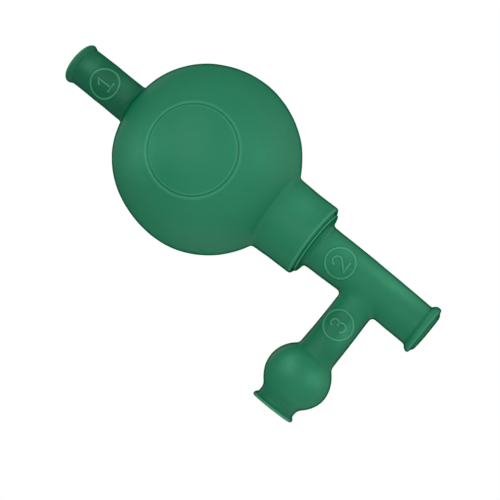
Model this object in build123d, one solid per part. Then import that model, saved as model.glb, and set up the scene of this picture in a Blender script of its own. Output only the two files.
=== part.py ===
from build123d import *
import os
from collections import namedtuple
from math import sqrt

# Three-valve rubber pipette filler in two mouldings: a bulb section, and a
# valve section plugged into its collar. Millimetres.
# Origin at the centre of the pipette socket's mouth, +Z up along the main axis
# towards the air valve, marked front towards -Y, side arm towards -X.

# Bulb: a hollow sphere with a round face to press on its front and back;
# y_near and y_far are the distances from the XZ plane its face is cut between.
Bulb = namedtuple("Bulb", "x z radius wall face_r y_near y_far")
# Valve: the ball's centre, and the radius and rotation of the tube around it.
Valve = namedtuple("Valve", "x z tube_r rotation")

ALONG_Z = (0, 0, 0)
ALONG_X = (0, 90, 0)
FRONT, BACK = -1, 1      # sign of Y
OVERCUT = 1.0            # how far bores run past an open end
GAP = 0.08               # ring line around each pressed face and pad

# ------------------------------------------------------ bulb section sizes
Z_BULB = 90.3
SUCTION_BULB = Bulb(x=0, z=Z_BULB, radius=31.0, wall=2.5, face_r=14.1, y_near=10, y_far=36)

# neck with the air valve
NECK_R = 6.73
NECK_LIP_R = 7.3
NECK_TOP = Z_BULB + 55.0
NECK_BORE_R = 2.2
NECK_MOUTH_R = 3.6
NECK_MOUTH_DEPTH = 2.0
NECK_ROOT_FILLET = 1.6
Z_AIR = Z_BULB + 41.3    # air valve ball

# collar that holds the valve section
PLUG_R = 9.6
COLLAR_R_TOP = 13.35
COLLAR_R_RIM = 12.95
Z_RIM = Z_BULB - 43.6
COLLAR_BORE_R = PLUG_R + 0.05
COLLAR_MOUTH_R = 11.7
COLLAR_MOUTH_DEPTH = 3.0
COLLAR_ROOT_FILLET = 1.0

BORE_OVERLAP = 20.0      # bores end this far from the bulb's centre

# ----------------------------------------------------- valve section sizes
PLUG_TOP = 62.3
PLUG_RECESS_R = 5.2
PLUG_RECESS_Z = 53.0     # recess reaches full radius
PASSAGE_R = 2.2
PASSAGE_TOP = 50.0
SHOULDER_R = 11.0
SHOULDER_Z0 = Z_RIM - 1.85
SHOULDER_Z1 = Z_RIM + 2.6
STEM_R_LOW = 7.22
STEM_R_TOP = 7.85
STEM_TAPER_Z0 = 4.2
STEM_TAPER_Z1 = SHOULDER_Z0 - 0.9
STEM_LIP_R = 8.65
SOCKET_R = 3.5           # pipette socket
SOCKET_LEN = 14.0
SOCKET_CONE = 1.3        # height of the cone from socket to passage
Z_SUCTION = 34.65        # suction valve ball

# side arm with the empty valve and the blow-out bulb
Z_ARM = Z_BULB - 66.75
X_BLOW = -37.35
BLOW_BULB = Bulb(x=X_BLOW, z=Z_ARM, radius=11.05, wall=1.8, face_r=6.4, y_near=4, y_far=14)
ARM_R_ROOT = 6.37
ARM_R_END = 6.47
ARM_TAPER_X0 = -10
ARM_TAPER_X1 = X_BLOW + 10
X_EMPTY = -15.93         # empty valve ball
X_MOUTH = -50.1
SPOUT_R = 6.75
SPOUT_LIP_R = 7.65
SPOUT_BORE_R = 2.5
SPOUT_MOUTH_R = SPOUT_BORE_R + 1.6
SPOUT_MOUTH_DEPTH = 1.8

# ------------------------------------------------------------ valve sizes
BALL_R = 4.0
SEAT_R = BALL_R + 0.05
PAD_R = 4.1              # pinch pad, inside the raised ring
PAD_INNER = 5.2          # inner face of a pad from the tube's axis
PAD_Y_NEAR = 0.5
POCKET_Y_NEAR = 1.8
PAD_Y_FAR = 12.0
BADGE_R_OUT = 5.45       # raised ring around each front pad
BADGE_R_IN = 4.55
BADGE_H = 0.3
BADGE_ROOT = 1.0         # how far the ring starts below the tube's surface
TUBE_LEN = 20            # stretch of tube that pads and rings are cut from
TUBE_CORE_LEN = 22


def tapered_radius(at, start, r_start, end, r_end):
    """Radius at a place on a straight taper between start and end."""
    return r_start + (r_end - r_start) * (at - start) / (end - start)


STEM_R_MID = tapered_radius(Z_SUCTION, STEM_TAPER_Z0, STEM_R_LOW, STEM_TAPER_Z1, STEM_R_TOP)
ARM_R_MID = tapered_radius(X_EMPTY, ARM_TAPER_X0, ARM_R_ROOT, ARM_TAPER_X1, ARM_R_END)

AIR_VALVE = Valve(0, Z_AIR, NECK_R, ALONG_Z)
SUCTION_VALVE = Valve(0, Z_SUCTION, STEM_R_MID, ALONG_Z)
EMPTY_VALVE = Valve(X_EMPTY, Z_ARM, ARM_R_MID, ALONG_X)

# --------------------------------------------------------------- profiles
# (radius, z) about the main axis
NECK_PROFILE = [
    (0, Z_BULB), (NECK_R, Z_BULB), (NECK_R, NECK_TOP - 4.4),
    (NECK_R + 0.14, NECK_TOP - 3.6), (NECK_LIP_R - 0.06, NECK_TOP - 2.6),
    (NECK_LIP_R, NECK_TOP - 2.0), (NECK_LIP_R - 0.12, NECK_TOP - 1.3),
    (NECK_LIP_R - 0.75, NECK_TOP - 0.45), (NECK_LIP_R - 1.7, NECK_TOP), (0, NECK_TOP),
]
NECK_BORE = [
    (0, Z_BULB + BORE_OVERLAP), (NECK_BORE_R, Z_BULB + BORE_OVERLAP),
    (NECK_BORE_R, NECK_TOP - NECK_MOUTH_DEPTH), (NECK_MOUTH_R, NECK_TOP),
    (NECK_MOUTH_R, NECK_TOP + OVERCUT), (0, NECK_TOP + OVERCUT),
]
COLLAR_PROFILE = [
    (0, Z_BULB), (COLLAR_R_TOP, Z_BULB), (COLLAR_R_TOP, Z_BULB - 29.6),
    (COLLAR_R_RIM + 0.05, Z_BULB - 36.5), (COLLAR_R_RIM, Z_RIM + 0.8),
    (COLLAR_R_RIM - 0.35, Z_RIM), (0, Z_RIM),
]
COLLAR_BORE = [
    (0, Z_RIM - OVERCUT), (COLLAR_MOUTH_R, Z_RIM - OVERCUT),
    (COLLAR_MOUTH_R, Z_RIM + COLLAR_MOUTH_DEPTH), (COLLAR_BORE_R, Z_RIM + COLLAR_MOUTH_DEPTH),
    (COLLAR_BORE_R, Z_BULB - BORE_OVERLAP), (0, Z_BULB - BORE_OVERLAP),
]
STEM_PROFILE = [
    (0, 0), (STEM_LIP_R - 1.5, 0), (STEM_LIP_R - 0.75, 0.3), (STEM_LIP_R - 0.15, 0.95),
    (STEM_LIP_R, 1.6), (STEM_LIP_R - 0.05, 2.4), (STEM_LIP_R - 0.5, 3.1),
    (STEM_LIP_R - 1.15, 3.65), (STEM_R_LOW, STEM_TAPER_Z0), (STEM_R_TOP, STEM_TAPER_Z1),
    (STEM_R_TOP + 0.9, SHOULDER_Z0), (SHOULDER_R - 1.4, SHOULDER_Z0),
    (SHOULDER_R - 0.5, SHOULDER_Z0 + 0.45), (SHOULDER_R, SHOULDER_Z0 + 1.3),
    (SHOULDER_R, SHOULDER_Z1), (PLUG_R, SHOULDER_Z1), (PLUG_R, PLUG_TOP - 1.0),
    (PLUG_R - 0.8, PLUG_TOP), (0, PLUG_TOP),
]
STEM_BORE = [
    (0, -OVERCUT), (SOCKET_R, -OVERCUT), (SOCKET_R, SOCKET_LEN),
    (PASSAGE_R, SOCKET_LEN + SOCKET_CONE), (PASSAGE_R, PASSAGE_TOP),
    (PLUG_RECESS_R, PLUG_RECESS_Z), (PLUG_RECESS_R, PLUG_TOP + OVERCUT),
    (0, PLUG_TOP + OVERCUT),
]
# (radius, x) about the side arm's axis
ARM_PROFILE = [
    (0, 0), (ARM_R_ROOT, 0), (ARM_R_ROOT, ARM_TAPER_X0), (ARM_R_END, ARM_TAPER_X1),
    (ARM_R_END, X_BLOW), (0, X_BLOW),
]
ARM_BORE = [(0, 0), (PASSAGE_R, 0), (PASSAGE_R, X_BLOW), (0, X_BLOW)]
SPOUT_PROFILE = [
    (0, X_BLOW), (SPOUT_R, X_BLOW), (SPOUT_R, X_MOUTH + 2.4),
    (SPOUT_R + 0.12, X_MOUTH + 1.6), (SPOUT_LIP_R - 0.3, X_MOUTH + 0.8),
    (SPOUT_LIP_R, X_MOUTH + 0.35), (SPOUT_LIP_R - 0.1, X_MOUTH + 0.05),
    (SPOUT_LIP_R - 0.4, X_MOUTH), (0, X_MOUTH),
]
SPOUT_BORE = [
    (0, X_BLOW), (SPOUT_BORE_R, X_BLOW), (SPOUT_BORE_R, X_MOUTH + SPOUT_MOUTH_DEPTH),
    (SPOUT_MOUTH_R, X_MOUTH), (SPOUT_MOUTH_R, X_MOUTH - OVERCUT), (0, X_MOUTH - OVERCUT),
]


# ---------------------------------------------------------- basic shapes
def turned(profile):
    """Solid of revolution about the main axis."""
    line = Polyline(*[(r, 0, z) for r, z in profile], close=True)
    return revolve(make_face(line), Axis.Z, 360)


def turned_arm(profile):
    """Solid of revolution about the side arm's axis."""
    line = Polyline(*[(x, 0, Z_ARM + r) for r, x in profile], close=True)
    return revolve(make_face(line), Axis((0, 0, Z_ARM), (1, 0, 0)), 360)


def side_cyl(radius, place, side, y_near, y_far):
    """Cylinder along Y through a bulb's or valve's centre, on its front or back side."""
    body = Cylinder(radius, y_far - y_near, rotation=(90, 0, 0))
    return Pos(place.x, side * (y_near + y_far) / 2, place.z) * body


def ball(radius, place):
    return Pos(place.x, 0, place.z) * Sphere(radius)


# ----------------------------------------------------------------- bulbs
def bulb_cavity(bulb):
    return ball(bulb.radius - bulb.wall, bulb)


def face_window(bulb, side):
    """Cutter for the opening that a pressed face sits in."""
    return side_cyl(bulb.face_r + GAP, bulb, side, bulb.y_near, bulb.y_far)


def face_wall(bulb, side):
    """Round patch of bulb wall that is pressed."""
    shell = ball(bulb.radius, bulb) - bulb_cavity(bulb)
    return shell & side_cyl(bulb.face_r, bulb, side, bulb.y_near, bulb.y_far)


# ---------------------------------------------------------------- valves
def valve_tube(valve, radius, length):
    return Pos(valve.x, 0, valve.z) * Cylinder(radius, length, rotation=valve.rotation)


def badge(valve):
    """Raised ring on the front of a valve's tube."""
    ring = side_cyl(BADGE_R_OUT, valve, FRONT, 1.5, valve.tube_r + 2)
    ring -= side_cyl(BADGE_R_IN, valve, FRONT, 1.0, valve.tube_r + 3)
    skin = valve_tube(valve, valve.tube_r + BADGE_H, TUBE_LEN)
    core = valve_tube(valve, valve.tube_r - BADGE_ROOT, TUBE_CORE_LEN)
    return (ring & skin) - core


def pocket(valve, side):
    """Cutter for the opening that a pinch pad sits in."""
    return side_cyl(PAD_R + GAP, valve, side, POCKET_Y_NEAR, PAD_Y_FAR)


def pinch_pad(valve, side):
    """Patch of tube wall over a valve ball, pinched to open the valve."""
    tube = valve_tube(valve, valve.tube_r, TUBE_LEN)
    tube -= valve_tube(valve, PAD_INNER, TUBE_CORE_LEN)
    return tube & side_cyl(PAD_R, valve, side, PAD_Y_NEAR, PAD_Y_FAR)


# -------------------------------------------------------------- mouldings
def root_edges(solid, radius, z, tol=0.6):
    """Circular edges about the main axis, close to this radius and height."""
    found = []
    for edge in solid.edges().filter_by(GeomType.CIRCLE):
        centre = edge.arc_center
        on_axis = abs(centre.X) < 1e-3 and abs(centre.Y) < 1e-3
        if on_axis and abs(centre.Z - z) < tol and abs(edge.radius - radius) < tol:
            found.append(edge)
    return found


def make_bulb_section():
    bulb_r = SUCTION_BULB.radius
    body = ball(bulb_r, SUCTION_BULB) + turned(NECK_PROFILE) + turned(COLLAR_PROFILE)
    z_neck_root = Z_BULB + sqrt(bulb_r ** 2 - NECK_R ** 2)
    z_collar_root = Z_BULB - sqrt(bulb_r ** 2 - COLLAR_R_TOP ** 2)
    body = fillet(root_edges(body, NECK_R, z_neck_root), NECK_ROOT_FILLET)
    body = fillet(root_edges(body, COLLAR_R_TOP, z_collar_root), COLLAR_ROOT_FILLET)
    body = body + badge(AIR_VALVE)
    body = body - bulb_cavity(SUCTION_BULB) - turned(COLLAR_BORE) - turned(NECK_BORE)
    body = body - ball(SEAT_R, AIR_VALVE)
    for side in (FRONT, BACK):
        body -= face_window(SUCTION_BULB, side)
        body -= pocket(AIR_VALVE, side)
    return body


def make_valve_section():
    body = turned(STEM_PROFILE) + turned_arm(ARM_PROFILE)
    body = body + ball(BLOW_BULB.radius, BLOW_BULB) + turned_arm(SPOUT_PROFILE)
    body += badge(SUCTION_VALVE)
    body += badge(EMPTY_VALVE)
    body = body - turned(STEM_BORE) - turned_arm(ARM_BORE) - turned_arm(SPOUT_BORE)
    body = body - bulb_cavity(BLOW_BULB)
    body = body - ball(SEAT_R, SUCTION_VALVE) - ball(SEAT_R, EMPTY_VALVE)
    for side in (FRONT, BACK):
        body -= pocket(SUCTION_VALVE, side)
        body -= pocket(EMPTY_VALVE, side)
        body -= face_window(BLOW_BULB, side)
    return body


# ----------------------------------------------------------------- export
pieces = {"bulb_section": make_bulb_section(), "valve_section": make_valve_section()}
for name, bulb in (("bulb", SUCTION_BULB), ("blowout", BLOW_BULB)):
    pieces[f"{name}_front_wall"] = face_wall(bulb, FRONT)
    pieces[f"{name}_back_wall"] = face_wall(bulb, BACK)
for name, valve in (("air", AIR_VALVE), ("suction", SUCTION_VALVE), ("empty", EMPTY_VALVE)):
    pieces[f"{name}_pinch_front"] = pinch_pad(valve, FRONT)
    pieces[f"{name}_pinch_back"] = pinch_pad(valve, BACK)
    pieces[f"{name}_valve_ball"] = ball(BALL_R, valve)

os.makedirs("parts", exist_ok=True)
for name, shape in pieces.items():
    solids = shape.solids()
    export_step(solids[0] if len(solids) == 1 else Compound(solids), f"parts/{name}.step")
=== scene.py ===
import math

import bmesh
import bpy
import numpy as np
from mathutils import Matrix, Vector


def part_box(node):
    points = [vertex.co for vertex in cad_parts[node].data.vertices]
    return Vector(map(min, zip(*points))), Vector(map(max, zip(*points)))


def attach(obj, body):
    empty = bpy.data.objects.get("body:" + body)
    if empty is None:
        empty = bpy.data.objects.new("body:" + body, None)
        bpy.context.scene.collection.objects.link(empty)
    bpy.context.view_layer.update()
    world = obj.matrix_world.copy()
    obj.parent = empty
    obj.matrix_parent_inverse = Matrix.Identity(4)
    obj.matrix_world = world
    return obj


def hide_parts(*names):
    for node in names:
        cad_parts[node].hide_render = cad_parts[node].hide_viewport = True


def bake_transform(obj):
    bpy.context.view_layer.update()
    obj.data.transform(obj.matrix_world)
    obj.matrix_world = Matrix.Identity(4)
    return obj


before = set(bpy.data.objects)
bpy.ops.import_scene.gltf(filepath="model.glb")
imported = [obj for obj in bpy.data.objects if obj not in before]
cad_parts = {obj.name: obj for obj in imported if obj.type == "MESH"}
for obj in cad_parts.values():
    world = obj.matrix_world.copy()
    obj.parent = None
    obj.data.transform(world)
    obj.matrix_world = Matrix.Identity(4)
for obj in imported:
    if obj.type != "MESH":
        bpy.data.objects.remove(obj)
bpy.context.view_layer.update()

# --------------------------------------------------------------------------
# Sizes in millimetres, read from the frame where a CAD node carries them.
# --------------------------------------------------------------------------


def mid(node, axis):
    lo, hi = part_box(node)
    return (lo[axis] + hi[axis]) * 500.0


Z_AIR = mid("air_valve_ball", 2)
Z_SUC = mid("suction_valve_ball", 2)
X_EMP = mid("empty_valve_ball", 0)
Z_ARM = mid("empty_valve_ball", 2)
X_BLOW = mid("blowout_front_wall", 0)
Z_BULB = mid("bulb_front_wall", 2)
BULB_R = -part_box("bulb_front_wall")[0][1] * 1000
THUMB_R = (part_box("bulb_front_wall")[1][0]) * 1000
Z_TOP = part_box("bulb_section")[1][2] * 1000
Z_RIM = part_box("bulb_section")[0][2] * 1000
PLUG_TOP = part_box("valve_section")[1][2] * 1000
X_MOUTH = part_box("valve_section")[0][0] * 1000
BLOW_R = -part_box("blowout_front_wall")[0][1] * 1000
BALL_R = (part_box("air_valve_ball")[1][0]) * 1000
WALL = 2.5
BLOW_WALL = 1.8
SEAT_R = BALL_R + 0.05


# --------------------------------------------------------------------------
# Distance-field modelling: smooth unions give moulded fillets, and every
# vertex is projected onto the exact surface.
# --------------------------------------------------------------------------


def r_union(a, b, r):
    return np.maximum(r, np.minimum(a, b)) - np.hypot(
        np.maximum(r - a, 0), np.maximum(r - b, 0)
    )


def r_inter(a, b, r):
    return np.minimum(-r, np.maximum(a, b)) + np.hypot(
        np.maximum(r + a, 0), np.maximum(r + b, 0)
    )


def r_diff(a, b, r):
    return r_inter(a, -b, r)


def profile(points):
    """Monotone cubic through (position, radius) points, as a dense table."""
    p = np.array(sorted(points), float)
    x, y = p[:, 0], p[:, 1]
    h = np.diff(x)
    s = np.diff(y) / h
    m = np.zeros(len(x))
    m[0], m[-1] = s[0], s[-1]
    for i in range(1, len(x) - 1):
        if s[i - 1] * s[i] > 0:
            w1, w2 = 2 * h[i] + h[i - 1], h[i] + 2 * h[i - 1]
            m[i] = (w1 + w2) / (w1 / s[i - 1] + w2 / s[i])
    t = np.arange(x[0], x[-1] + 0.02, 0.04)
    i = np.clip(np.searchsorted(x, t) - 1, 0, len(x) - 2)
    u = (t - x[i]) / h[i]
    v = (
        y[i] * (1 + 2 * u) * (1 - u) ** 2
        + m[i] * h[i] * u * (1 - u) ** 2
        + y[i + 1] * u * u * (3 - 2 * u)
        + m[i + 1] * h[i] * u * u * (u - 1)
    )
    return t, v, np.gradient(v, t)


def tube(rho, s, prof):
    r = np.interp(s, prof[0], prof[1])
    k = np.interp(s, prof[0], prof[2])
    return (rho - r) / np.sqrt(1 + k * k)


def step01(t):
    t = np.clip(t, 0, 1)
    return t * t * (3 - 2 * t)


def stroke(u, v, pts):
    """Distance from (u, v) to a polyline."""
    best = np.full(u.shape, 1e9)
    for (ax, ay), (bx, by) in zip(pts[:-1], pts[1:]):
        dx, dy = bx - ax, by - ay
        t = np.clip(((u - ax) * dx + (v - ay) * dy) / (dx * dx + dy * dy + 1e-12), 0, 1)
        best = np.minimum(best, np.hypot(u - ax - t * dx, v - ay - t * dy))
    return best


def arc(cx, cy, r, a0, a1, n=14):
    a = np.radians(np.linspace(a0, a1, n))
    return [(cx + r * math.cos(t), cy + r * math.sin(t)) for t in a]


GLYPHS = {
    1: [[(-1.25, 1.45), (0.15, 2.6), (0.15, -2.6)], [(-1.35, -2.6), (1.65, -2.6)]],
    2: [arc(0, 1.15, 1.5, 165, -35, 16) + [(-1.6, -2.6), (1.7, -2.6)]],
    3: [arc(-0.1, 1.27, 1.33, 150, -90, 16), arc(-0.1, -1.25, 1.5, 90, -150, 18)],
}
BADGE_H = 0.20


def badge(x, z, cx, cz, glyph):
    u, v = x - cx, z - cz
    q = np.hypot(u, v)
    near = q < 6.4
    out = np.zeros(x.shape)
    if near.any():
        u, v, q = u[near], v[near], q[near]
        d = np.abs(q - 4.9) - 0.33
        for line in GLYPHS[glyph]:
            d = np.minimum(d, stroke(u, v, line) - 0.33)
        out[near] = BADGE_H * (1 - step01((d + 0.24) / 0.52))
    return out


NECK = profile(
    [
        (Z_BULB, 6.70), (Z_BULB + 30, 6.68), (Z_BULB + 38, 6.68), (Z_TOP - 12, 6.74),
        (Z_TOP - 3.5, 6.66), (Z_TOP - 3.0, 6.68), (Z_TOP - 2.7, 6.86), (Z_TOP - 2.25, 7.10),
        (Z_TOP - 1.7, 7.26), (Z_TOP - 1.1, 7.31), (Z_TOP - 0.4, 7.25), (Z_TOP + 1, 7.2),
    ]
)
COLLAR = profile(
    [
        (Z_RIM - 1, 12.95), (Z_RIM, 12.97), (Z_RIM + 2, 12.93), (Z_RIM + 7, 12.95),
        (Z_BULB - 31, 13.20), (Z_BULB - 28, 13.30), (Z_BULB, 13.35),
    ]
)
NECK_BORE = profile([(Z_BULB, 2.2), (Z_TOP - 3.0, 2.2), (Z_TOP - 1.2, 2.7), (Z_TOP, 3.7), (Z_TOP + 2, 6.0)])
STEM = profile(
    [
        (-1, 8.69), (0.0, 8.69), (1.5, 8.70), (2.1, 8.64), (2.6, 8.42), (3.1, 8.00),
        (3.55, 7.50), (3.95, 7.34), (5.0, 7.30), (18, 7.36), (30, 7.50), (Z_RIM - 5, 7.72),
        (Z_RIM + 4, 7.86),
    ]
)
SHOULDER = profile(
    [
        (Z_RIM - 2.9, 6.9), (Z_RIM - 2.55, 7.75), (Z_RIM - 2.2, 8.5), (Z_RIM - 1.9, 9.3),
        (Z_RIM - 1.7, 10.05), (Z_RIM - 1.55, 10.75), (Z_RIM - 1.4, 11.16), (Z_RIM - 1.2, 11.30),
        (Z_RIM - 1.02, 11.2), (Z_RIM - 0.88, 11.08), (Z_RIM - 0.75, 11.08), (Z_RIM - 0.6, 11.18),
        (Z_RIM - 0.4, 11.28), (Z_RIM + 4, 11.30),
    ]
)
ARM = profile([(0, 6.32), (11, 6.36), (16, 6.46), (22, 6.54), (27.0, 6.64), (29.5, 6.75), (40, 6.78)])
SPOUT_LEN = -X_MOUTH
SPOUT = profile(
    [
        (30, 6.70), (SPOUT_LEN - 4.2, 6.70), (SPOUT_LEN - 3.0, 6.82), (SPOUT_LEN - 2.2, 6.80),
        (SPOUT_LEN - 1.6, 6.84), (SPOUT_LEN - 1.2, 7.05), (SPOUT_LEN - 0.85, 7.42),
        (SPOUT_LEN - 0.5, 7.66), (SPOUT_LEN - 0.1, 7.73), (SPOUT_LEN + 2, 7.66),
    ]
)
SOCKET = profile([(-2, 4.8), (0, 4.05), (0.7, 3.62), (1.5, 3.5), (14, 3.5), (15.3, 2.2), (50, 2.2), (53, 5.2), (70, 5.2)])
SPOUT_BORE = profile([(30, 2.5), (SPOUT_LEN - 2.2, 2.5), (SPOUT_LEN - 1.2, 2.8), (SPOUT_LEN - 0.2, 4.4), (SPOUT_LEN + 2, 6.4)])


NECK_LEAN = 0.5
STEM_LEAN = 1.15
ARM_LIFT = 1.0
ARM_DROP = 0.35
# how far each soft ball is out of round, seen from the front (mm, harmonics 0, 1, 2...)
BULB_ROUND = (0.018, 0.027, -0.019, -0.076, 0.109, 0.125, 0.029, -0.084, 0.020, -0.030, -0.073, 0.026, 0.033)
BLOW_ROUND = (-0.024, -0.029, 0.161, -0.040, 0.168, -0.004, 0.028, 0.096, -0.069)
RING_R = THUMB_R + 0.3


def wobble(x, y, z):
    """Slight unevenness of a rubber moulding, hundredths of a millimetre."""
    broad = np.sin(0.31 * x + 0.13 * z + 1.1) * np.sin(0.27 * y - 0.11 * x + 0.4)
    broad += np.sin(0.23 * z + 2.2) * np.sin(0.35 * x + 0.21 * y + 0.7)
    small = np.sin(0.83 * x + 0.42 * z + 0.3) * np.sin(0.77 * z - 0.35 * y + 1.9)
    small += np.sin(0.61 * y + 0.57 * x) * np.sin(0.71 * z + 0.29 * x + 2.6)
    return 0.045 * broad + 0.014 * small


def parting(y):
    return 0.09 * np.exp(-((y / 0.17) ** 2))


def out_of_round(x, z, radius, coef):
    q = np.hypot(x, z)
    c, v = x / (q + 1e-9), z / (q + 1e-9)
    a, b = c, v
    d = np.full(x.shape, coef[0])
    for k in range(1, len(coef), 2):
        d = d + coef[k] * a + coef[k + 1] * b
        a, b = a * c - b * v, a * v + b * c
    return d * step01((q / radius - 0.5) / 0.42)


def bulb_field(p, detail=True):
    x, y, z = p[:, 0], p[:, 1], p[:, 2]
    rho = np.hypot(x, y)
    dz = z - Z_BULB
    ball = np.sqrt(rho * rho + dz * dz) - BULB_R - out_of_round(x, dz, BULB_R, BULB_ROUND)
    lean = NECK_LEAN + 0.2 - 0.35 * step01((dz - 28) / 24)
    neck = r_inter(tube(np.hypot(x + lean, y), z, NECK), z - Z_TOP + 0.40 + 0.045 * y + 0.02 * x, 0.9)
    neck = np.maximum(neck, -dz)
    collar = r_inter(tube(np.hypot(x - 0.12, y), z, COLLAR), Z_RIM - 0.5 - z, 0.85)
    collar = np.maximum(collar, dz)
    outer = r_union(ball, neck, 1.9)
    outer = r_union(outer, collar, 1.1)
    if detail:
        outer = outer - wobble(x, y, z)
    inner = np.sqrt(rho * rho + dz * dz) - (BULB_R - WALL)
    inner = np.minimum(inner, np.maximum(rho - 9.65, dz + 20))
    mouth = np.maximum(rho - 11.5, z - (Z_RIM + 3.0))
    bore = np.maximum(tube(rho, z, NECK_BORE), -(dz - 20))
    inner = np.minimum(inner, bore)
    inner = np.minimum(inner, np.sqrt(rho * rho + (z - Z_AIR) ** 2) - SEAT_R)
    d = r_diff(outer, inner, 0.4)
    d = r_diff(d, mouth, 0.22)
    if detail:
        q = np.hypot(x, dz)
        g = q - RING_R
        groove = -0.24 * np.exp(-((g / 0.36) ** 2)) + 0.09 * np.exp(-(((g - 1.0) / 0.5) ** 2))
        groove += 0.03 * np.exp(-(((g + 1.0) / 0.5) ** 2))
        h = np.where(q < THUMB_R + 4, groove, 0.0)
        tubeish = np.where((y < 0) & (z > Z_BULB + 33), 1.0, 0.0)
        h = h + tubeish * badge(x, z, -0.24 - NECK_LEAN, Z_AIR, 1)
        h = h + parting(y) * np.where((z > Z_RIM + 0.6) & (z < Z_TOP - 0.8), 1.0, 0.0)
        skin = step01((outer + 1.2) / 0.6)
        d = d - h * skin
    return d


def valve_field(p, detail=True):
    x, y, z = p[:, 0], p[:, 1], p[:, 2]
    # soft rubber never hangs quite straight
    z = z - ARM_LIFT * np.maximum(0, (-x - 16) / 34) ** 1.1
    x = x + STEM_LEAN * np.maximum(0, (30 - z) / 30) ** 1.3 * step01((x + 24) / 12)
    rho = np.hypot(x, y)
    ra = np.hypot(y, z - Z_ARM)
    s = -x
    rb = np.hypot(y, z - Z_ARM + ARM_DROP)
    tip = -z - 0.15 - 0.03 * x
    stem = r_inter(tube(rho, z, STEM), tip + 0.85, 0.8)
    stem = np.maximum(stem, z - (Z_RIM + 1))
    end = np.maximum(r_inter(rho - 7.6, tip, 1.6), z - 3)
    stem = r_union(stem, end, 0.4)
    zs = z + 0.008 * x
    shoulder = r_inter(tube(rho, zs, SHOULDER), z - (Z_RIM + 2.6), 0.5)
    shoulder = np.maximum(shoulder, Z_RIM - 2.8 - zs)
    plug = r_inter(rho - 9.45, np.maximum(Z_RIM - z, z - PLUG_TOP), 0.8)
    arm = np.maximum(np.maximum(tube(rb, s, ARM), -s), s + X_BLOW)
    blow = np.sqrt((x - X_BLOW) ** 2 + rb * rb) - BLOW_R
    blow = blow - out_of_round(x - X_BLOW, z - Z_ARM + ARM_DROP, BLOW_R, BLOW_ROUND)
    rs = np.hypot(y, z - Z_ARM + ARM_DROP - 0.12)
    spout = r_inter(tube(rs, s, SPOUT), s - SPOUT_LEN - 0.55 - 0.06 * y, 0.62)
    spout = np.maximum(spout, -s - X_BLOW)
    outer = r_union(stem, shoulder, 0.7)
    outer = np.minimum(outer, plug)
    side = r_union(arm, blow, 0.7)
    side = r_union(side, spout, 1.2)
    outer = r_union(outer, side, 1.5)
    if detail:
        outer = outer - wobble(x, y, z)
    bore = tube(rho, z, SOCKET)
    bore = np.minimum(bore, np.sqrt(rho * rho + (z - Z_SUC) ** 2) - SEAT_R)
    arm_bore = np.maximum(np.maximum(ra - 2.2, -s), s + X_BLOW)
    inner = np.minimum(bore, arm_bore)
    inner = np.minimum(inner, np.sqrt((x - X_EMP) ** 2 + ra * ra) - SEAT_R)
    inner = np.minimum(inner, np.sqrt((x - X_BLOW) ** 2 + rb * rb) - (BLOW_R - BLOW_WALL))
    inner = np.minimum(inner, np.maximum(tube(rb, s, SPOUT_BORE), -s - X_BLOW))
    d = r_diff(outer, inner, 0.35)
    if detail:
        front = np.where(y < 0, 1.0, 0.0)
        h = front * np.where(z < Z_RIM - 3, 1.0, 0.0) * badge(x, z, -0.13, Z_SUC, 2)
        h = h + front * badge(x, z, X_EMP, Z_ARM - 0.29, 3)
        on = (z > 0.8) & (z < Z_RIM - 2.0) & (s < SPOUT_LEN - 0.6)
        h = h + parting(y) * np.where(on, 1.0, 0.0)
        skin = step01((outer + 1.2) / 0.6)
        d = d - h * skin
    return d


def normals_of(field, p, e=0.03):
    g = np.empty_like(p)
    for k in range(3):
        o = np.zeros(3)
        o[k] = e
        g[:, k] = field(p + o) - field(p - o)
    n = np.linalg.norm(g, axis=1)
    n[n == 0] = 1
    return g / n[:, None], n / (2 * e)


def project(field, p, steps=3, reach=0.5):
    for _ in range(steps):
        g, m = normals_of(field, p)
        d = field(p) / np.maximum(m, 0.35)
        p = p - g * np.clip(d, -reach, reach)[:, None]
    return p


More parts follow.
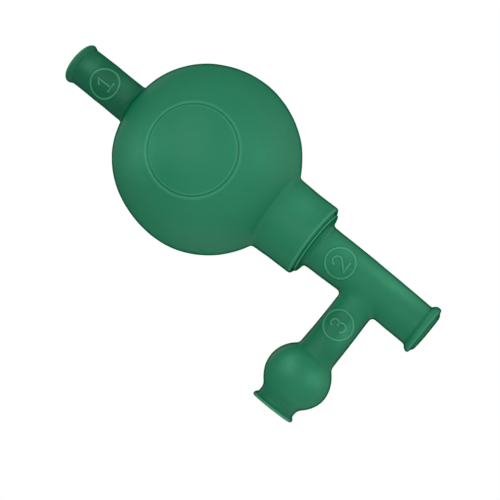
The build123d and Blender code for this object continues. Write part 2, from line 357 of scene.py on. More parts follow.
def surface_net(field, lo, hi, h):
    """Quads on the zero surface, one vertex in each grid cell that it crosses."""
    ax = [np.arange(a, b + h, h) for a, b in zip(lo, hi)]
    n = [len(a) for a in ax]
    val = np.empty(n, np.float32)
    yz = np.stack(np.meshgrid(ax[1], ax[2], indexing="ij"), -1).reshape(-1, 2)
    pts = np.empty((len(yz), 3))
    pts[:, 1:] = yz
    for i, x in enumerate(ax[0]):
        pts[:, 0] = x
        val[i] = field(pts, False).reshape(n[1], n[2])
    val[val == 0] = 1e-6
    ins = val < 0
    cell = [k - 1 for k in n]
    corner = [(i, j, k) for i in (0, 1) for j in (0, 1) for k in (0, 1)]

    def at(arr, c):
        return arr[c[0]:c[0] + cell[0], c[1]:c[1] + cell[1], c[2]:c[2] + cell[2]]

    count = sum(at(ins, c).astype(np.int8) for c in corner)
    live = (count > 0) & (count < 8)
    index = np.full(cell, -1, np.int64)
    idx = np.argwhere(live)
    index[live] = np.arange(len(idx))
    acc = np.zeros((len(idx), 3))
    cnt = np.zeros(len(idx))
    for a in corner:
        for axis in range(3):
            if a[axis]:
                continue
            b = list(a)
            b[axis] = 1
            va = val[tuple((idx + a).T)].astype(float)
            vb = val[tuple((idx + b).T)].astype(float)
            cross = (va < 0) != (vb < 0)
            t = np.where(cross, va / np.where(cross, va - vb, 1), 0)
            q = np.array(a, float) + np.zeros((len(idx), 3))
            q[:, axis] = t
            acc += np.where(cross[:, None], q, 0)
            cnt += cross
    co = (idx + acc / cnt[:, None]) * h + np.array([a[0] for a in ax])
    quads = []
    for axis in range(3):
        sl0 = [slice(None)] * 3
        sl1 = [slice(None)] * 3
        sl0[axis], sl1[axis] = slice(0, -1), slice(1, None)
        a, b = ins[tuple(sl0)], ins[tuple(sl1)]
        e = np.argwhere(a != b)
        o1, o2 = [k for k in range(3) if k != axis]
        keep = (e[:, o1] > 0) & (e[:, o2] > 0) & (e[:, o1] < cell[o1]) & (e[:, o2] < cell[o2])
        e = e[keep]
        first = ins[tuple(e.T)]
        d1, d2 = np.zeros(3, int), np.zeros(3, int)
        d1[o1], d2[o2] = 1, 1
        q = [index[tuple((e - s).T)] for s in (d1 + d2, d2, np.zeros(3, int), d1)]
        q = np.stack(q, 1)
        flip = first if axis != 1 else ~first
        q[~flip] = q[~flip][:, ::-1]
        quads.append(q)
    quads = np.concatenate(quads)
    return co, quads[(quads >= 0).all(1)]


def relax(co, quads, field, rounds=4):
    """Evens out the net along the surface."""
    e = np.concatenate([quads[:, [i, (i + 1) % 4]] for i in range(4)])
    for _ in range(rounds):
        acc = np.zeros_like(co)
        cnt = np.zeros(len(co))
        for k in range(3):
            acc[:, k] = np.bincount(e[:, 0], co[e[:, 1], k], len(co)) + np.bincount(
                e[:, 1], co[e[:, 0], k], len(co)
            )
        cnt = np.bincount(e[:, 0], minlength=len(co)) + np.bincount(e[:, 1], minlength=len(co))
        goal = acc / np.maximum(cnt, 1)[:, None]
        g, _ = normals_of(lambda q: field(q, False), co, 0.1)
        step = goal - co
        step -= g * (step * g).sum(1)[:, None]
        co = project(lambda q: field(q, False), co + 0.6 * step, 1)
    return co


def triangles(co, quads):
    a = np.linalg.norm(co[quads[:, 0]] - co[quads[:, 2]], axis=1)
    b = np.linalg.norm(co[quads[:, 1]] - co[quads[:, 3]], axis=1)
    s = a <= b
    t1 = np.where(s[:, None], quads[:, [0, 1, 2]], quads[:, [0, 1, 3]])
    t2 = np.where(s[:, None], quads[:, [0, 2, 3]], quads[:, [1, 2, 3]])
    return np.concatenate([t1, t2])


def refine(co, tri, want, longest):
    """Splits edges longer than longest on the triangles that want it."""
    e = np.sort(np.concatenate([tri[:, [0, 1]], tri[:, [1, 2]], tri[:, [2, 0]]]), axis=1)
    key, inv = np.unique(e[:, 0] * (len(co) + 1) + e[:, 1], return_inverse=True)
    inv = inv.reshape(3, -1).T
    ends = np.stack([key // (len(co) + 1), key % (len(co) + 1)], 1)
    length = np.linalg.norm(co[ends[:, 0]] - co[ends[:, 1]], axis=1)
    marked = np.zeros(len(key), bool)
    marked[inv[want].ravel()] = True
    marked &= length > longest
    new = np.full(len(key), -1)
    new[marked] = len(co) + np.arange(marked.sum())
    co = np.concatenate([co, (co[ends[marked, 0]] + co[ends[marked, 1]]) / 2])
    m = new[inv]
    n = (m >= 0).sum(1)
    out = [tri[n == 0]]
    t, k = tri[n == 3], m[n == 3]
    out += [
        np.stack([t[:, 0], k[:, 0], k[:, 2]], 1),
        np.stack([k[:, 0], t[:, 1], k[:, 1]], 1),
        np.stack([k[:, 2], k[:, 1], t[:, 2]], 1),
        k,
    ]
    for i in range(3):
        one = (n == 1) & (m[:, i] >= 0)
        t, k = tri[one], m[one][:, i]
        a, b, c = t[:, i], t[:, (i + 1) % 3], t[:, (i + 2) % 3]
        out += [np.stack([a, k, c], 1), np.stack([k, b, c], 1)]
        two = (n == 2) & (m[:, i] < 0)
        t, k = tri[two], m[two]
        a, b, c = t[:, i], t[:, (i + 1) % 3], t[:, (i + 2) % 3]
        kb, kc = k[:, (i + 1) % 3], k[:, (i + 2) % 3]
        out += [np.stack([a, b, kb], 1), np.stack([a, kb, kc], 1), np.stack([kc, kb, c], 1)]
    return co, np.concatenate(out)


def build_net(field, lo, hi, h, zones, levels):
    co, quads = surface_net(field, lo, hi, h)
    co = project(lambda q: field(q, False), co, 2)
    co = relax(co, quads, field)
    tri = triangles(co, quads)
    for length in levels:
        c = co[tri].mean(1)
        co, tri = refine(co, tri, zones(c, length), length)
        co = project(field, co, 2, 0.2)
    co = project(field, co, 2, 0.15)
    return co, tri


# --------------------------------------------------------------------------
# Splitting into pieces, each one closed, and writing meshes.
# --------------------------------------------------------------------------


def to_bmesh(co, tri):
    mesh = bpy.data.meshes.new("tmp")
    mesh.vertices.add(len(co))
    mesh.vertices.foreach_set("co", co.astype(np.float32).ravel())
    mesh.loops.add(len(tri) * 3)
    mesh.loops.foreach_set("vertex_index", tri.astype(np.int32).ravel())
    mesh.polygons.add(len(tri))
    mesh.polygons.foreach_set("loop_start", np.arange(0, len(tri) * 3, 3, dtype=np.int32))
    mesh.update(calc_edges=True)
    bm = bmesh.new()
    bm.from_mesh(mesh)
    bpy.data.meshes.remove(mesh)
    return bm


def cut(bm, point, normal):
    """The part of bm behind the plane, closed with a cap."""
    got = bmesh.ops.bisect_plane(
        bm,
        geom=bm.verts[:] + bm.edges[:] + bm.faces[:],
        dist=0.01,
        plane_co=point,
        plane_no=normal,
        clear_outer=True,
    )
    rim = [g for g in got["geom_cut"] if isinstance(g, bmesh.types.BMEdge) and g.is_boundary]
    if rim:
        made = bmesh.ops.triangle_fill(
            bm, use_beauty=True, use_dissolve=False, edges=rim, normal=normal
        )
        for f in made["geom"]:
            if isinstance(f, bmesh.types.BMFace):
                f.material_index = 1
                if f.normal.dot(Vector(normal)) < 0:
                    f.normal_flip()
    return bm


MATERIALS = {}
PIECES = []


def finish_piece(bm, name, field, material, weight=None, bodies=None, replaces=()):
    mesh = bpy.data.meshes.new(name)
    bm.normal_update()
    bm.to_mesh(mesh)
    bm.free()
    co = np.empty(len(mesh.vertices) * 3, np.float32)
    mesh.vertices.foreach_get("co", co)
    co = co.reshape(-1, 3).astype(float)
    n, _ = normals_of(field, co, 0.045)
    nf = len(mesh.polygons)
    cap = np.empty(nf, np.int32)
    mesh.polygons.foreach_get("material_index", cap)
    fn = np.empty(nf * 3, np.float32)
    mesh.polygons.foreach_get("normal", fn)
    fn = fn.reshape(-1, 3)
    starts = np.empty(nf, np.int32)
    totals = np.empty(nf, np.int32)
    mesh.polygons.foreach_get("loop_start", starts)
    mesh.polygons.foreach_get("loop_total", totals)
    face_of = np.repeat(np.arange(nf), totals)
    lv = np.empty(len(mesh.loops), np.int32)
    mesh.loops.foreach_get("vertex_index", lv)
    ln = n[lv]
    is_cap = cap[face_of] == 1
    ln[is_cap] = fn[face_of][is_cap]
    # curvature for ridge wear and painted crevice shade: positive on ridges, negative in hollows
    e = 0.32
    lap = -6 * field(co)
    for k in range(3):
        o = np.zeros(3)
        o[k] = e
        lap += field(co + o) + field(co - o)
    curv = np.clip(lap / (e * e), -2.5, 2.5)
    x, y, z = co[:, 0], co[:, 1], co[:, 2]
    # painted highlights: pale patches where light falls brightest
    painted_highlight = np.zeros(len(co))
    for cx, cy, cz, sx, sz, amount in PAINTED_HIGHLIGHTS:
        g = ((x - cx) / sx) ** 2 + ((z - cz) / sz) ** 2
        painted_highlight += amount * np.exp(-g) * step01((cy - y) / 4.0 + 0.5)
    # painted shade: the air-valve neck is darkened in colour where less light reaches, and a little of the
    # side arm and the spout end
    painted_shade_level = 0.85 * step01((co[:, 2] - Z_BULB - 24) / 12)
    painted_shade_level = np.maximum(painted_shade_level, 0.20 * step01((11 - np.abs(co[:, 0] + 20)) / 5) * (co[:, 2] < 36))
    painted_shade_level = np.maximum(painted_shade_level, 0.22 * step01((-co[:, 0] - 44.5) / 3) * (co[:, 2] < 60))
    # the painted dark rim line (painted shade) is about as wide on every form, so its angle follows the radius
    big = 1 - step01((np.abs(np.sqrt(x * x + y * y + (z - Z_BULB) ** 2) - BULB_R) - 0.4) / 1.5)
    small = 1 - step01((np.abs(np.sqrt((x - X_BLOW) ** 2 + y * y + (z - Z_ARM) ** 2) - BLOW_R) - 0.8) / 1.2)
    girth = np.clip(np.hypot(x, y), 6.5, 13.5)
    girth = np.where((z < 36) & (x < -9), 6.6, girth)
    girth = np.maximum(girth, np.maximum(31.0 * big * (z > 60), 11.0 * small * (z < 50)))
    limb = np.sqrt(2 * LIMB_WIDTH / girth)
    for tag, kind, data in (
        ("limb", "FLOAT", limb.astype(np.float32)),
        ("painted_highlight", "FLOAT", np.clip(painted_highlight, 0, 1).astype(np.float32)),
        ("rest", "FLOAT_VECTOR", co.astype(np.float32).ravel()),
        ("curv", "FLOAT", curv.astype(np.float32)),
        ("painted_shade", "FLOAT", painted_shade_level.astype(np.float32)),
    ):
        a = mesh.attributes.new(tag, kind, "POINT")
        a.data.foreach_set("vector" if kind == "FLOAT_VECTOR" else "value", data)
    mesh.polygons.foreach_set("material_index", np.zeros(nf, np.int32))
    mesh.polygons.foreach_set("use_smooth", np.ones(nf, bool))
    mesh.vertices.foreach_set("co", (co * 0.001).astype(np.float32).ravel())
    mesh.update()
    mesh.normals_split_custom_set(ln.astype(np.float32))
    mesh.materials.append(material)
    ob = bpy.data.objects.new(name, mesh)
    bpy.context.scene.collection.objects.link(ob)
    if weight is None:
        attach(ob, bodies[0])
    else:
        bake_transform(ob)
        w = weight(co).astype(np.float32)
    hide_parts(*replaces)
    PIECES.append(ob)
    return ob


# --------------------------------------------------------------------------
# Materials
# --------------------------------------------------------------------------


def node(tree, kind, at=(0, 0), **values):
    n = tree.nodes.new(kind)
    n.location = at
    for k, v in values.items():
        if k in n.inputs:
            n.inputs[k].default_value = v
        else:
            setattr(n, k, v)
    return n


def rubber_material():
    m = bpy.data.materials.new("green_rubber")
    m.use_nodes = True
    t = m.node_tree
    t.nodes.clear()
    link = t.links.new
    out = node(t, "ShaderNodeOutputMaterial", (900, 0))
    bsdf = node(t, "ShaderNodeBsdfPrincipled", (600, 0))
    rest = node(t, "ShaderNodeAttribute", (-1400, 0), attribute_name="rest")
    curv = node(t, "ShaderNodeAttribute", (-1400, -300), attribute_name="curv")
    # broad clouding of the compound, then finer mottling
    cloud = node(t, "ShaderNodeTexNoise", (-1100, 300), Scale=0.045, Detail=3.0, Roughness=0.55)
    mottle = node(t, "ShaderNodeTexNoise", (-1100, 50), Scale=0.55, Detail=5.0, Roughness=0.62)
    speck = node(t, "ShaderNodeTexNoise", (-1100, -200), Scale=3.2, Detail=3.0, Roughness=0.6)
    grain = node(t, "ShaderNodeTexNoise", (-1100, -450), Scale=1.7, Detail=6.0, Roughness=0.68)
    for n in (cloud, mottle, speck, grain):
        link(rest.outputs["Vector"], n.inputs["Vector"])
    base = node(t, "ShaderNodeMix", (-600, 300), data_type="RGBA")
    base.inputs[6].default_value = BASE_DARK
    base.inputs[7].default_value = BASE_LIGHT
    add = node(t, "ShaderNodeMath", (-850, 300), operation="MULTIPLY_ADD")
    add.inputs[1].default_value = 0.55
    link(cloud.outputs["Fac"], add.inputs[0])
    add2 = node(t, "ShaderNodeMath", (-850, 120), operation="MULTIPLY")
    add2.inputs[1].default_value = 0.45
    link(mottle.outputs["Fac"], add2.inputs[0])
    link(add2.outputs[0], add.inputs[2])
    link(add.outputs[0], base.inputs[0])
    # painted shade: darker on the air-valve neck, and a little on the side arm and the spout end
    painted_shade = node(t, "ShaderNodeAttribute", (-1400, 550), attribute_name="painted_shade")
    painted_shade_amount = node(t, "ShaderNodeMath", (-850, 500), operation="MULTIPLY_ADD", use_clamp=True)
    link(painted_shade.outputs["Fac"], painted_shade_amount.inputs[0])
    painted_shade_amount.inputs[1].default_value = 0.92
    painted_shade_mix = node(t, "ShaderNodeMix", (-500, 480), data_type="RGBA")
    painted_shade_mix.inputs[7].default_value = PAINTED_SHADE_COLOUR
    link(painted_shade_amount.outputs[0], painted_shade_mix.inputs[0])
    link(base.outputs[2], painted_shade_mix.inputs[6])
    # worn, slightly bloomed ridges
    ridge = node(t, "ShaderNodeMapRange", (-850, -100), clamp=True)
    ridge.inputs["From Min"].default_value = 0.35
    ridge.inputs["From Max"].default_value = 2.0
    ridge.inputs["To Max"].default_value = 0.55
    link(curv.outputs["Fac"], ridge.inputs["Value"])
    ridge_mix = node(t, "ShaderNodeMix", (-350, 250), data_type="RGBA")
    ridge_mix.inputs[7].default_value = PALE_BLOOM_AND_HIGHLIGHT
    link(ridge.outputs["Result"], ridge_mix.inputs[0])
    # painted highlights: pale patches from the per-vertex highlight attribute, broken up by the mottling
    painted_highlight_attr = node(t, "ShaderNodeAttribute", (-1400, 800), attribute_name="painted_highlight")
    painted_highlight_amount = node(t, "ShaderNodeMath", (-850, 700), operation="MULTIPLY", use_clamp=True)
    patchy = node(t, "ShaderNodeMapRange", (-1050, 800), clamp=True)
    patchy.inputs["From Min"].default_value = 0.25
    patchy.inputs["From Max"].default_value = 0.75
    patchy.inputs["To Min"].default_value = 0.7
    patchy.inputs["To Max"].default_value = 1.3
    link(mottle.outputs["Fac"], patchy.inputs["Value"])
    link(painted_highlight_attr.outputs["Fac"], painted_highlight_amount.inputs[0])
    link(patchy.outputs["Result"], painted_highlight_amount.inputs[1])
    painted_highlight_mix = node(t, "ShaderNodeMix", (-420, 600), data_type="RGBA")
    painted_highlight_mix.inputs[7].default_value = PALE_BLOOM_AND_HIGHLIGHT
    link(painted_highlight_amount.outputs[0], painted_highlight_mix.inputs[0])
    link(painted_shade_mix.outputs[2], painted_highlight_mix.inputs[6])
    link(painted_highlight_mix.outputs[2], ridge_mix.inputs[6])
    # painted shade: darker in the hollows
    crevice_shade = node(t, "ShaderNodeMapRange", (-850, -320), clamp=True)
    crevice_shade.inputs["From Min"].default_value = -0.25
    crevice_shade.inputs["From Max"].default_value = -2.2
    crevice_shade.inputs["To Max"].default_value = 0.38
    link(curv.outputs["Fac"], crevice_shade.inputs["Value"])
    crevice_shade_mix = node(t, "ShaderNodeMix", (-100, 200), data_type="RGBA")
    crevice_shade_mix.inputs[7].default_value = PAINTED_CREVICE_SHADE
    link(crevice_shade.outputs["Result"], crevice_shade_mix.inputs[0])
    link(ridge_mix.outputs[2], crevice_shade_mix.inputs[6])
    link(crevice_shade_mix.outputs[2], bsdf.inputs["Base Color"])
    # painted shade: a thin dark line at the rim of every form, where the surface turns away from view
    edge = node(t, "ShaderNodeAttribute", (-900, -700), attribute_name="limb")
    geo = node(t, "ShaderNodeNewGeometry", (-900, -900))
    dot = node(t, "ShaderNodeVectorMath", (-700, -900), operation="DOT_PRODUCT")
    link(geo.outputs["Incoming"], dot.inputs[0])
    link(geo.outputs["Normal"], dot.inputs[1])
    ratio = node(t, "ShaderNodeMath", (-500, -800), operation="DIVIDE")
    link(dot.outputs["Value"], ratio.inputs[0])
    link(edge.outputs["Fac"], ratio.inputs[1])
    limb = node(t, "ShaderNodeMapRange", (-350, -650), clamp=True, interpolation_type="SMOOTHSTEP")
    limb.inputs["From Min"].default_value = 1.15
    limb.inputs["From Max"].default_value = 0.60
    limb.inputs["To Max"].default_value = LIMB
    link(ratio.outputs[0], limb.inputs["Value"])
    rim_shade_bsdf = node(t, "ShaderNodeBsdfDiffuse", (600, -300))
    rim_shade_bsdf.inputs["Color"].default_value = PAINTED_RIM_SHADE
    rim_mix = node(t, "ShaderNodeMixShader", (750, 0))
    link(limb.outputs["Result"], rim_mix.inputs[0])
    link(bsdf.outputs["BSDF"], rim_mix.inputs[1])
    link(rim_shade_bsdf.outputs["BSDF"], rim_mix.inputs[2])
    link(rim_mix.outputs[0], out.inputs["Surface"])
    face = node(t, "ShaderNodeLayerWeight", (-600, -550), Blend=0.5)
    rough = node(t, "ShaderNodeMapRange", (150, -150))
    rough.inputs["From Min"].default_value = 0.25
    rough.inputs["From Max"].default_value = 0.75
    rough.inputs["To Min"].default_value = 0.44
    rough.inputs["To Max"].default_value = 0.60
    link(mottle.outputs["Fac"], rough.inputs["Value"])
    link(rough.outputs["Result"], bsdf.inputs["Roughness"])
    sheen = node(t, "ShaderNodeMapRange", (150, -700), clamp=True)
    sheen.inputs["From Min"].default_value = 0.35
    sheen.inputs["From Max"].default_value = 0.85
    sheen.inputs["To Min"].default_value = 1.26
    sheen.inputs["To Max"].default_value = 1.02
    link(face.outputs["Facing"], sheen.inputs["Value"])
    link(sheen.outputs["Result"], bsdf.inputs["IOR"])
    bsdf.inputs["Specular IOR Level"].default_value = 0.5
    b1 = node(t, "ShaderNodeBump", (150, -400), Strength=0.10, Distance=0.00010)
    link(grain.outputs["Fac"], b1.inputs["Height"])
    b2 = node(t, "ShaderNodeBump", (350, -400), Strength=0.08, Distance=0.00004)
    link(speck.outputs["Fac"], b2.inputs["Height"])
    link(b1.outputs["Normal"], b2.inputs["Normal"])
    link(b2.outputs["Normal"], bsdf.inputs["Normal"])
    return m


def ball_material():
    m = bpy.data.materials.new("valve_ball_glass")
    m.use_nodes = True
    t = m.node_tree
    link = t.links.new
    bsdf = t.nodes["Principled BSDF"]
    bsdf.inputs["Transmission Weight"].default_value = 0.85
    bsdf.inputs["IOR"].default_value = 1.5
    co = node(t, "ShaderNodeTexCoord", (-900, 0))
    n = node(t, "ShaderNodeTexNoise", (-700, 0), Scale=420.0, Detail=4.0)
    link(co.outputs["Object"], n.inputs["Vector"])
    ramp = node(t, "ShaderNodeMix", (-400, 150), data_type="RGBA")
    ramp.inputs[6].default_value = (0.72, 0.80, 0.78, 1)
    ramp.inputs[7].default_value = (0.86, 0.91, 0.89, 1)
    link(n.outputs["Fac"], ramp.inputs[0])
    link(ramp.outputs[2], bsdf.inputs["Base Color"])
    r = node(t, "ShaderNodeMapRange", (-400, -150))
    r.inputs["To Min"].default_value = 0.03
    r.inputs["To Max"].default_value = 0.12
    link(n.outputs["Fac"], r.inputs["Value"])
    link(r.outputs["Result"], bsdf.inputs["Roughness"])
    return m


def floor_material():
    m = bpy.data.materials.new("pale_floor")
    m.use_nodes = True
    t = m.node_tree
    t.nodes.clear()
    link = t.links.new
    out = node(t, "ShaderNodeOutputMaterial", (600, 0))
    co = node(t, "ShaderNodeTexCoord", (-800, 0))
    n = node(t, "ShaderNodeTexNoise", (-600, 0), Scale=9.0, Detail=4.0)
    link(co.outputs["Object"], n.inputs["Vector"])
    mix = node(t, "ShaderNodeMix", (-300, 100), data_type="RGBA")
    mix.inputs[6].default_value = (0.86, 0.86, 0.86, 1)
    mix.inputs[7].default_value = (0.90, 0.90, 0.90, 1)
    link(n.outputs["Fac"], mix.inputs[0])
    dif = node(t, "ShaderNodeBsdfDiffuse", (0, 100))
    link(mix.outputs[2], dif.inputs["Color"])
    emi = node(t, "ShaderNodeEmission", (0, -50), Strength=1.0)
    emi.inputs["Color"].default_value = (1, 1, 1, 1)
    path = node(t, "ShaderNodeLightPath", (-300, 400))
    face = node(t, "ShaderNodeNewGeometry", (-700, 500))
    dot = node(t, "ShaderNodeVectorMath", (-500, 500), operation="DOT_PRODUCT")
    link(face.outputs["Incoming"], dot.inputs[0])
    link(face.outputs["True Normal"], dot.inputs[1])
    steep = node(t, "ShaderNodeMapRange", (-300, 600), clamp=True)
    steep.inputs["From Min"].default_value = 0.22
    steep.inputs["From Max"].default_value = 0.40
    steep.inputs["To Min"].default_value = 1.0
    steep.inputs["To Max"].default_value = 0.55
    link(dot.outputs["Value"], steep.inputs["Value"])
    share = node(t, "ShaderNodeMath", (0, 300), operation="MULTIPLY")
    link(steep.outputs["Result"], share.inputs[1])
    link(path.outputs["Is Camera Ray"], share.inputs[0])
    lit = node(t, "ShaderNodeMixShader", (200, 100))
    link(share.outputs[0], lit.inputs[0])
    link(dif.outputs[0], lit.inputs[1])
    link(emi.outputs[0], lit.inputs[2])
    clear = node(t, "ShaderNodeBsdfTransparent", (200, -100))
    geo = node(t, "ShaderNodeNewGeometry", (200, 350))
    glow = node(t, "ShaderNodeEmission", (0, -250), Strength=FLOOR_GLOW)
    unseen = node(t, "ShaderNodeMath", (-100, -400), operation="SUBTRACT")
    unseen.inputs[0].default_value = 1.0
    link(path.outputs["Is Camera Ray"], unseen.inputs[1])
    lift = node(t, "ShaderNodeMath", (0, -400), operation="MULTIPLY")
    lift.inputs[1].default_value = FLOOR_GLOW
    link(unseen.outputs[0], lift.inputs[0])
    link(lift.outputs[0], glow.inputs["Strength"])
    sum_ = node(t, "ShaderNodeAddShader", (300, 150))
    link(lit.outputs[0], sum_.inputs[0])
    link(glow.outputs[0], sum_.inputs[1])
    both = node(t, "ShaderNodeMixShader", (400, 0))
    link(geo.outputs["Backfacing"], both.inputs[0])
    link(sum_.outputs[0], both.inputs[1])
    link(clear.outputs[0], both.inputs[2])
    link(both.outputs[0], out.inputs["Surface"])
    return m


BASE_DARK = (0.0130, 0.184, 0.089, 1)
BASE_LIGHT = (0.0220, 0.234, 0.119, 1)
# pale colour for the worn ridges and for the painted highlights
PALE_BLOOM_AND_HIGHLIGHT = (0.060, 0.325, 0.180, 1)
# painted shade colour for the hollows
PAINTED_CREVICE_SHADE = (0.002, 0.070, 0.030, 1)
# painted shade colour for the darkened neck, arm and spout end
PAINTED_SHADE_COLOUR = (0.0015, 0.082, 0.037, 1)
LIMB = 0.85
# painted shade colour for the dark rim line
PAINTED_RIM_SHADE = (0.001, 0.090, 0.040, 1)
# painted highlights on the rubber: x, front of y, z, spread in x, spread in z, amount
PAINTED_HIGHLIGHTS = (
    (4.6, 0, 17, 1.9, 13, 0.36), (4.2, 0, 37, 2.2, 6, 0.16), (-34.0, 0, 18.2, 3.2, 3.4, 0.32),
    (-34.8, 0, 28.2, 3.6, 2.8, 0.34), (-16.5, 0, 19.6, 5.0, 1.7, 0.36), (7.5, 0, Z_RIM + 8, 3.5, 5, 0.16),
    (1.5, 0, Z_TOP - 6.5, 2.6, 2.6, 0.18), (-10, 0, Z_BULB + 14, 9, 8, 0.28), (12, 0, Z_BULB - 18, 7, 7, 0.10),
    (3.0, 0, Z_BULB + 36, 2.2, 4, 0.14),
)
LIMB_WIDTH = 0.62
FLOOR_GLOW = 0.44

rubber = rubber_material()
glass = ball_material()

# --------------------------------------------------------------------------
# Bulb moulding: ball, collar and air-valve neck
# --------------------------------------------------------------------------


def bulb_zones(c, length):
    x, y, z = c[:, 0], c[:, 1], c[:, 2]
    dz = z - Z_BULB
    rad = np.sqrt(x * x + y * y + dz * dz)
    q = np.hypot(x, dz)
    outside = rad > BULB_R - 1.2
    ring = outside & (np.abs(q - RING_R) < 1.3 + length) & (np.abs(y) > 15)
    mark = (y < -1) & (np.hypot(x + 0.74, z - Z_AIR) < 5.9) & (np.hypot(x, y) > 5.6)
    want = ring | mark
    if length > 0.2:
        rho = np.hypot(x, y)
        want |= (z > Z_TOP - 4.5) | ((z < Z_RIM + 3.8) & (rho > 9.4))
        seam = (np.abs(y) < 0.45) & outside
        want |= seam
    return want


def valve_zones(c, length):
    x, y, z = c[:, 0], c[:, 1], c[:, 2]
    rho = np.hypot(x, y)
    ra = np.hypot(y, z - Z_ARM)
    m1 = (y < -1) & (np.hypot(x + 0.13, z - Z_SUC) < 5.9) & (rho > 6.6)
    m2 = (y < -1) & (np.hypot(x - X_EMP, z - Z_ARM + 0.29) < 5.9) & (ra > 5.4)
    want = m1 | m2
    if length > 0.2:
        want |= (z < 4.8) & (x > -9)
        want |= x < X_MOUTH + 3.6
        want |= (z > Z_RIM - 2.4) & (z < Z_RIM + 3.2)
        want |= np.abs(y) < 0.4
    return want


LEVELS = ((0.34, 0.17))
co, tri = build_net(
    bulb_field,
    (-BULB_R - 1.3, -BULB_R - 1.3, Z_RIM - 1.3),
    (BULB_R + 1.3, BULB_R + 1.3, Z_TOP + 1.3),
    0.62,
    bulb_zones,
    LEVELS,
)
whole = to_bmesh(co, tri)
Z_NECK_CUT = Z_BULB + 33.6


def part(source, planes):
    bm = source.copy()
    for point, normal in planes:
        bm = cut(bm, point, normal)
    return bm


FRONT = ((0, 0, 0), (0, 1, 0))
BACK = ((0, 0, 0), (0, -1, 0))


def squeeze_weight(cx, cz, inner, outer):
    def w(co):
        r = np.hypot(co[:, 0] - cx, co[:, 2] - cz)
        return step01((outer - r) / (outer - inner))
    return w


def pinch_weight(cx, cz, centre_z, along, radius):
    """Full on the outer skin over the ball, none at the seat."""
    def w(co):
        r = np.hypot(co[:, 0] - cx, co[:, 2] - cz)
        if along == "z":
            rho = np.hypot(co[:, 0], co[:, 1])
        else:
            rho = np.hypot(co[:, 1], co[:, 2] - centre_z)
        depth = step01((rho - (SEAT_R + 0.2)) / (radius - SEAT_R - 0.4))
        return step01((5.9 - r) / 4.6) * depth
    return w


for side, cutter in (("front", FRONT), ("back", BACK)):
    finish_piece(
        part(whole, [cutter, ((0, 0, Z_NECK_CUT), (0, 0, 1))]),
        f"bulb_{side}_half", bulb_field, rubber,
        squeeze_weight(0, Z_BULB, 3.0, 27.4),
        ("bulb_section", f"bulb_{side}_wall"),
        (f"bulb_{side}_wall",) + (("bulb_section",) if side == "front" else ()),
    )
    finish_piece(
        part(whole, [cutter, ((0, 0, Z_NECK_CUT), (0, 0, -1))]),
        f"air_neck_{side}_half", bulb_field, rubber,
        pinch_weight(0, Z_AIR, 0, "z", 6.7),
        ("bulb_section", f"air_pinch_{side}"),
        (f"air_pinch_{side}",),
    )
whole.free()

# --------------------------------------------------------------------------
# Valve moulding: plug, stem, side arm, blow-out bulb and spout
# --------------------------------------------------------------------------

co, tri = build_net(
    valve_field,
    (X_MOUTH - 1.3, -BLOW_R - 1.3, -1.3),
    (11.8, BLOW_R + 1.3, PLUG_TOP + 1.3),
    0.46,
    valve_zones,
    LEVELS,
)
whole = to_bmesh(co, tri)
X_STEM = -10.6
X_ARM = -24.6
Z_STEM = 29.4

finish_piece(
    part(whole, [((X_STEM, 0, 0), (-1, 0, 0)), ((0, 0, Z_STEM), (0, 0, 1))]),
    "socket_stem", valve_field, rubber, None, ("valve_section",), ("valve_section",),
)
for side, cutter in (("front", FRONT), ("back", BACK)):
    finish_piece(
        part(whole, [cutter, ((X_STEM, 0, 0), (-1, 0, 0)), ((0, 0, Z_STEM), (0, 0, -1))]),
        f"suction_tube_{side}_half", valve_field, rubber,
        pinch_weight(0, Z_SUC, 0, "z", 7.6),
        ("valve_section", f"suction_pinch_{side}"),
        (f"suction_pinch_{side}",),
    )
    finish_piece(
        part(whole, [cutter, ((X_STEM, 0, 0), (1, 0, 0)), ((X_ARM, 0, 0), (-1, 0, 0))]),
        f"empty_arm_{side}_half", valve_field, rubber,
        pinch_weight(X_EMP, Z_ARM, Z_ARM, "x", 6.4),
        ("valve_section", f"empty_pinch_{side}"),
        (f"empty_pinch_{side}",),
    )
    finish_piece(
        part(whole, [cutter, ((X_ARM, 0, 0), (1, 0, 0))]),
        f"blowout_bulb_{side}_half", valve_field, rubber,
        squeeze_weight(X_BLOW, Z_ARM, 0.8, 9.4),
        ("valve_section", f"blowout_{side}_wall"),
        (f"blowout_{side}_wall",),
    )
whole.free()

for name in ("air_valve_ball", "suction_valve_ball", "empty_valve_ball"):
    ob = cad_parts[name]
    ob.data.materials.clear()
    ob.data.materials.append(glass)
    for f in ob.data.polygons:
        f.use_smooth = True

# --------------------------------------------------------------------------
# Stage, light and camera
# --------------------------------------------------------------------------

bpy.ops.mesh.primitive_plane_add(size=12.0, location=(0, 0, -0.0005))
floor = bpy.context.object
floor.name = "floor"
floor.data.materials.append(floor_material())

world = bpy.data.worlds.new("studio")
bpy.context.scene.world = world
world.use_nodes = True
wt = world.node_tree
wt.nodes.clear()
w_out = node(wt, "ShaderNodeOutputWorld", (600, 0))
w_cam = node(wt, "ShaderNodeBackground", (200, 100), Strength=1.0)
w_cam.inputs["Color"].default_value = (1, 1, 1, 1)
w_lit = node(wt, "ShaderNodeBackground", (200, -100), Strength=0.53)
w_lit.inputs["Color"].default_value = (0.96, 0.98, 1.0, 1)
w_path = node(wt, "ShaderNodeLightPath", (0, 300))
w_mix = node(wt, "ShaderNodeMixShader", (400, 0))
wt.links.new(w_path.outputs["Is Camera Ray"], w_mix.inputs[0])
wt.links.new(w_lit.outputs[0], w_mix.inputs[1])
wt.links.new(w_cam.outputs[0], w_mix.inputs[2])
wt.links.new(w_mix.outputs[0], w_out.inputs["Surface"])

# camera pose, found by lining up the outline: millimetres and degrees
CAM_D, CAM_AZ, CAM_TILT, CAM_ROLL = 500.0, -2.57, 8.54, 52.09
CAM_TX, CAM_TY, CAM_F = -13.75, 29.36, 1533.9


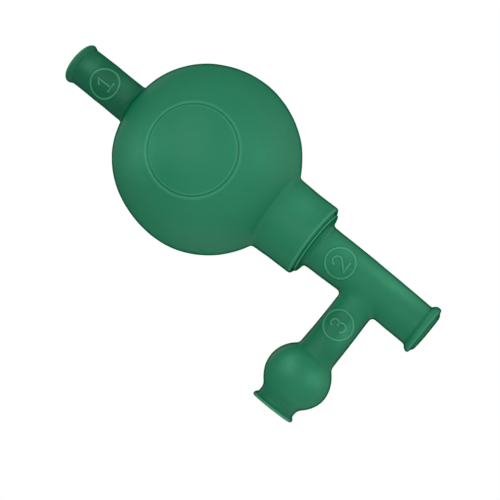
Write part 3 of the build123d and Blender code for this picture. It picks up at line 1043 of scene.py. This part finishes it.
def view_matrix():
    a, t, r = (math.radians(v) for v in (CAM_AZ, CAM_TILT, CAM_ROLL))
    az = Matrix(((math.cos(a), -math.sin(a), 0), (math.sin(a), math.cos(a), 0), (0, 0, 1)))
    base = Matrix(((1, 0, 0), (0, 0, 1), (0, -1, 0)))
    tilt = Matrix(((1, 0, 0), (0, math.cos(t), math.sin(t)), (0, -math.sin(t), math.cos(t))))
    roll = Matrix(((math.cos(r), -math.sin(r), 0), (math.sin(r), math.cos(r), 0), (0, 0, 1)))
    return roll @ tilt @ base @ az


VIEW = view_matrix()
cam_data = bpy.data.cameras.new("camera")
cam = bpy.data.objects.new("camera", cam_data)
bpy.context.scene.collection.objects.link(cam)
cam_data.sensor_width = 36.0
cam_data.lens = CAM_F / 500 * 36.0
cam_data.clip_start = 0.01
back = VIEW.transposed()
place = Vector((0, 0, Z_BULB)) + back @ Vector((-CAM_TX, -CAM_TY, CAM_D))
cam.matrix_world = Matrix.Translation(place * 0.001) @ back.to_4x4()
bpy.context.scene.camera = cam
bpy.context.scene.view_settings.view_transform = "Standard"
bpy.context.scene.view_settings.look = "None"


def area(name, spot, target, size, watts, colour=(1, 1, 1)):
    data = bpy.data.lights.new(name, "AREA")
    data.shape = "DISK"
    data.size = size
    data.energy = watts
    data.color = colour
    ob = bpy.data.objects.new(name, data)
    bpy.context.scene.collection.objects.link(ob)
    ob.visible_camera = False
    ob.location = spot
    ob.rotation_mode = "QUATERNION"
    ob.rotation_quaternion = (Vector(target) - Vector(spot)).to_track_quat("-Z", "Y")
    return ob


centre = (0, 0, 0.075)
def from_view(x, y, z, distance):
    """A spot at a distance from the object, along a direction in the camera's own axes."""
    return Vector(centre) + VIEW.transposed() @ Vector((x, y, z)).normalized() * distance


area("front", from_view(-0.38, 0.28, 1.0, 0.60), centre, 0.35, 1.32)
area("key", from_view(0.66, 0.50, 0.56, 0.60), centre, 0.35, 1.35)
area("top", from_view(-0.30, 0.70, 0.65, 0.60), centre, 0.35, 0.60)
area("back", from_view(-0.35, 0.30, -0.90, 0.60), centre, 0.35, 0.80)
